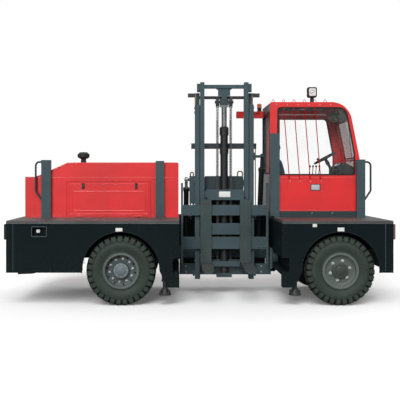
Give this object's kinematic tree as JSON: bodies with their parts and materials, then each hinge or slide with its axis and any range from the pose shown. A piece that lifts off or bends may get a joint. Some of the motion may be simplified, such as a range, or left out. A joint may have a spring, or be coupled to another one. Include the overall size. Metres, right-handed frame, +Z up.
{
  "type": "sideloader",
  "caption": "Side-loading fork truck with a flat deck, a reaching and tilting mast in a central well, stabiliser jacks, an engine cover and a cab beside the deck.",
  "frame": {"origin": "on the ground, at the middle of the overall length and width", "axes": "+X is the driving direction, -Y is the side that is loaded, +Z is up"},
  "size_m": [5.59, 2.3, 3.332],
  "materials": {
    "frame_black": "satin paint",
    "deck_plate": "worn plate",
    "cover_red": "gloss paint",
    "slate": "satin paint",
    "dark_steel": "bare steel",
    "bright_steel": "polished rod",
    "iron": "rough casting",
    "tyre": "matt",
    "rear_rim": "satin paint",
    "front_rim": "satin paint",
    "glass": "clear",
    "black_plastic": "moulded",
    "seat_cloth": "woven",
    "hose": "satin",
    "amber": "clear lens",
    "lamp_red": "ribbed lens",
    "lamp_white": "clear lens"
  },
  "bodies": {
    "chassis": {"rear_frame": "frame_black", "front_frame": "frame_black", "spine_frame": "frame_black", "rear_deck": "deck_plate", "front_deck": "deck_plate", "cab_step": "frame_black", "deck_posts": "slate", "grab_handles": "slate", "end_lamps": "lamp_red", "side_lamp": "lamp_white", "rear_axle": "iron", "front_axle": "iron", "engine_cover": "cover_red", "rear_grille": "black_plastic", "engine_block": "iron", "air_precleaner": "black_plastic", "cab_frame": "cover_red", "cab_glazing": "glass", "cab_base": "slate", "dashboard": "black_plastic", "control_levers": "black_plastic", "steering_wheel": "black_plastic", "seat_cushion": "seat_cloth", "seat_backrest": "seat_cloth", "window_guard": "cover_red", "work_lamp": "black_plastic", "beacon": "amber", "reach_barrel": "dark_steel", "stabiliser_barrels": "dark_steel"},
    "rear_wheel_right": {"rear_tyre_right": "tyre", "rear_rim_right": "rear_rim"},
    "rear_wheel_left": {"rear_tyre_left": "tyre", "rear_rim_left": "rear_rim"},
    "steering_right": {"knuckle_right": "iron"},
    "steering_left": {"knuckle_left": "iron"},
    "front_wheel_right": {"front_tyre_right": "tyre", "front_rim_right": "front_rim"},
    "front_wheel_left": {"front_tyre_left": "tyre", "front_rim_left": "front_rim"},
    "engine_door": {"engine_door": "cover_red", "door_latches": "black_plastic"},
    "cab_door": {"cab_door": "cover_red", "cab_door_glass": "glass"},
    "trolley": {"mast_trolley": "slate"},
    "reach_stage": {"reach_stage": "bright_steel"},
    "outer_mast": {"outer_mast": "slate", "lift_barrel": "dark_steel", "chain_anchor_runs": "dark_steel", "mast_hoses": "hose"},
    "inner_mast": {"inner_mast": "slate", "lift_rod": "bright_steel", "chain_sheaves": "dark_steel", "lift_chains": "dark_steel"},
    "carriage": {"fork_carriage": "slate", "fork_rear": "dark_steel", "fork_front": "dark_steel"},
    "tilt_barrels": {"tilt_barrels": "dark_steel"},
    "tilt_rods": {"tilt_rods": "bright_steel"},
    "rear_stabiliser": {"rear_stabiliser": "dark_steel"},
    "front_stabiliser": {"front_stabiliser": "dark_steel"}
  },
  "joints": [
    {"name": "rear_right_spin", "type": "hinge", "parent": "chassis", "child": "rear_wheel_right", "pos_m": [-1.125, -1.015, 0.5], "axis": [0, 1, 0], "continuous": true},
    {"name": "rear_left_spin", "type": "hinge", "parent": "chassis", "child": "rear_wheel_left", "pos_m": [-1.125, 1.015, 0.5], "axis": [0, 1, 0], "continuous": true},
    {"name": "steer_right", "type": "hinge", "parent": "chassis", "child": "steering_right", "pos_m": [2.01, -0.84, 0.5], "axis": [0, 0, 1], "range_deg": [-30, 30]},
    {"name": "steer_left", "type": "hinge", "parent": "chassis", "child": "steering_left", "pos_m": [2.01, 0.84, 0.5], "axis": [0, 0, 1], "range_deg": [-30, 30]},
    {"name": "front_right_spin", "type": "hinge", "parent": "steering_right", "child": "front_wheel_right", "pos_m": [2.01, -1.015, 0.5], "axis": [0, 1, 0], "continuous": true},
    {"name": "front_left_spin", "type": "hinge", "parent": "steering_left", "child": "front_wheel_left", "pos_m": [2.01, 1.015, 0.5], "axis": [0, 1, 0], "continuous": true},
    {"name": "engine_door_hinge", "type": "hinge", "parent": "chassis", "child": "engine_door", "pos_m": [-1.3835, -0.06, 1.232], "axis": [1, 0, 0], "range_deg": [0, 85]},
    {"name": "cab_door_hinge", "type": "hinge", "parent": "chassis", "child": "cab_door", "pos_m": [1.325, 1.14, 2.1], "axis": [0, 0, 1], "range_deg": [0, 80]},
    {"name": "mast_reach", "type": "slide", "parent": "chassis", "child": "trolley", "axis": [0, -1, 0], "range_m": [0, 1.1]},
    {"name": "reach_stage_slide", "type": "slide", "parent": "chassis", "child": "reach_stage", "axis": [0, -1, 0], "range_m": [0, 0.55]},
    {"name": "mast_tilt", "type": "hinge", "parent": "trolley", "child": "outer_mast", "pos_m": [0.4205, 0.155, 0.33], "axis": [1, 0, 0], "range_deg": [-3, 5]},
    {"name": "mast_lift", "type": "slide", "parent": "outer_mast", "child": "inner_mast", "axis": [0, 0, 1], "range_m": [-0.2, 1.6]},
    {"name": "carriage_lift", "type": "slide", "parent": "inner_mast", "child": "carriage", "axis": [0, 0, 1], "range_m": [-0.2, 1.6]},
    {"name": "tilt_barrel_pivot", "type": "hinge", "parent": "trolley", "child": "tilt_barrels", "pos_m": [0.4205, 0.7, 0.77], "axis": [1, 0, 0], "range_deg": [-3.6, 6]},
    {"name": "tilt_rod_slide", "type": "slide", "parent": "tilt_barrels", "child": "tilt_rods", "axis": [0, -0.362, 0.9322], "range_m": [-0.036, 0.06]},
    {"name": "rear_stabiliser_slide", "type": "slide", "parent": "chassis", "child": "rear_stabiliser", "axis": [0, 0, -1], "range_m": [0, 0.14]},
    {"name": "front_stabiliser_slide", "type": "slide", "parent": "chassis", "child": "front_stabiliser", "axis": [0, 0, -1], "range_m": [0, 0.14]}
  ],
  "couplings": [
    {"joint": "steer_left", "follows": "steer_right", "ratio": 1},
    {"joint": "reach_stage_slide", "follows": "mast_reach", "ratio": 0.5},
    {"joint": "carriage_lift", "follows": "mast_lift", "ratio": 1},
    {"joint": "tilt_barrel_pivot", "follows": "mast_tilt", "ratio": 1.146},
    {"joint": "tilt_rod_slide", "follows": "mast_tilt", "m_per_rad": 0.67}
  ]
}
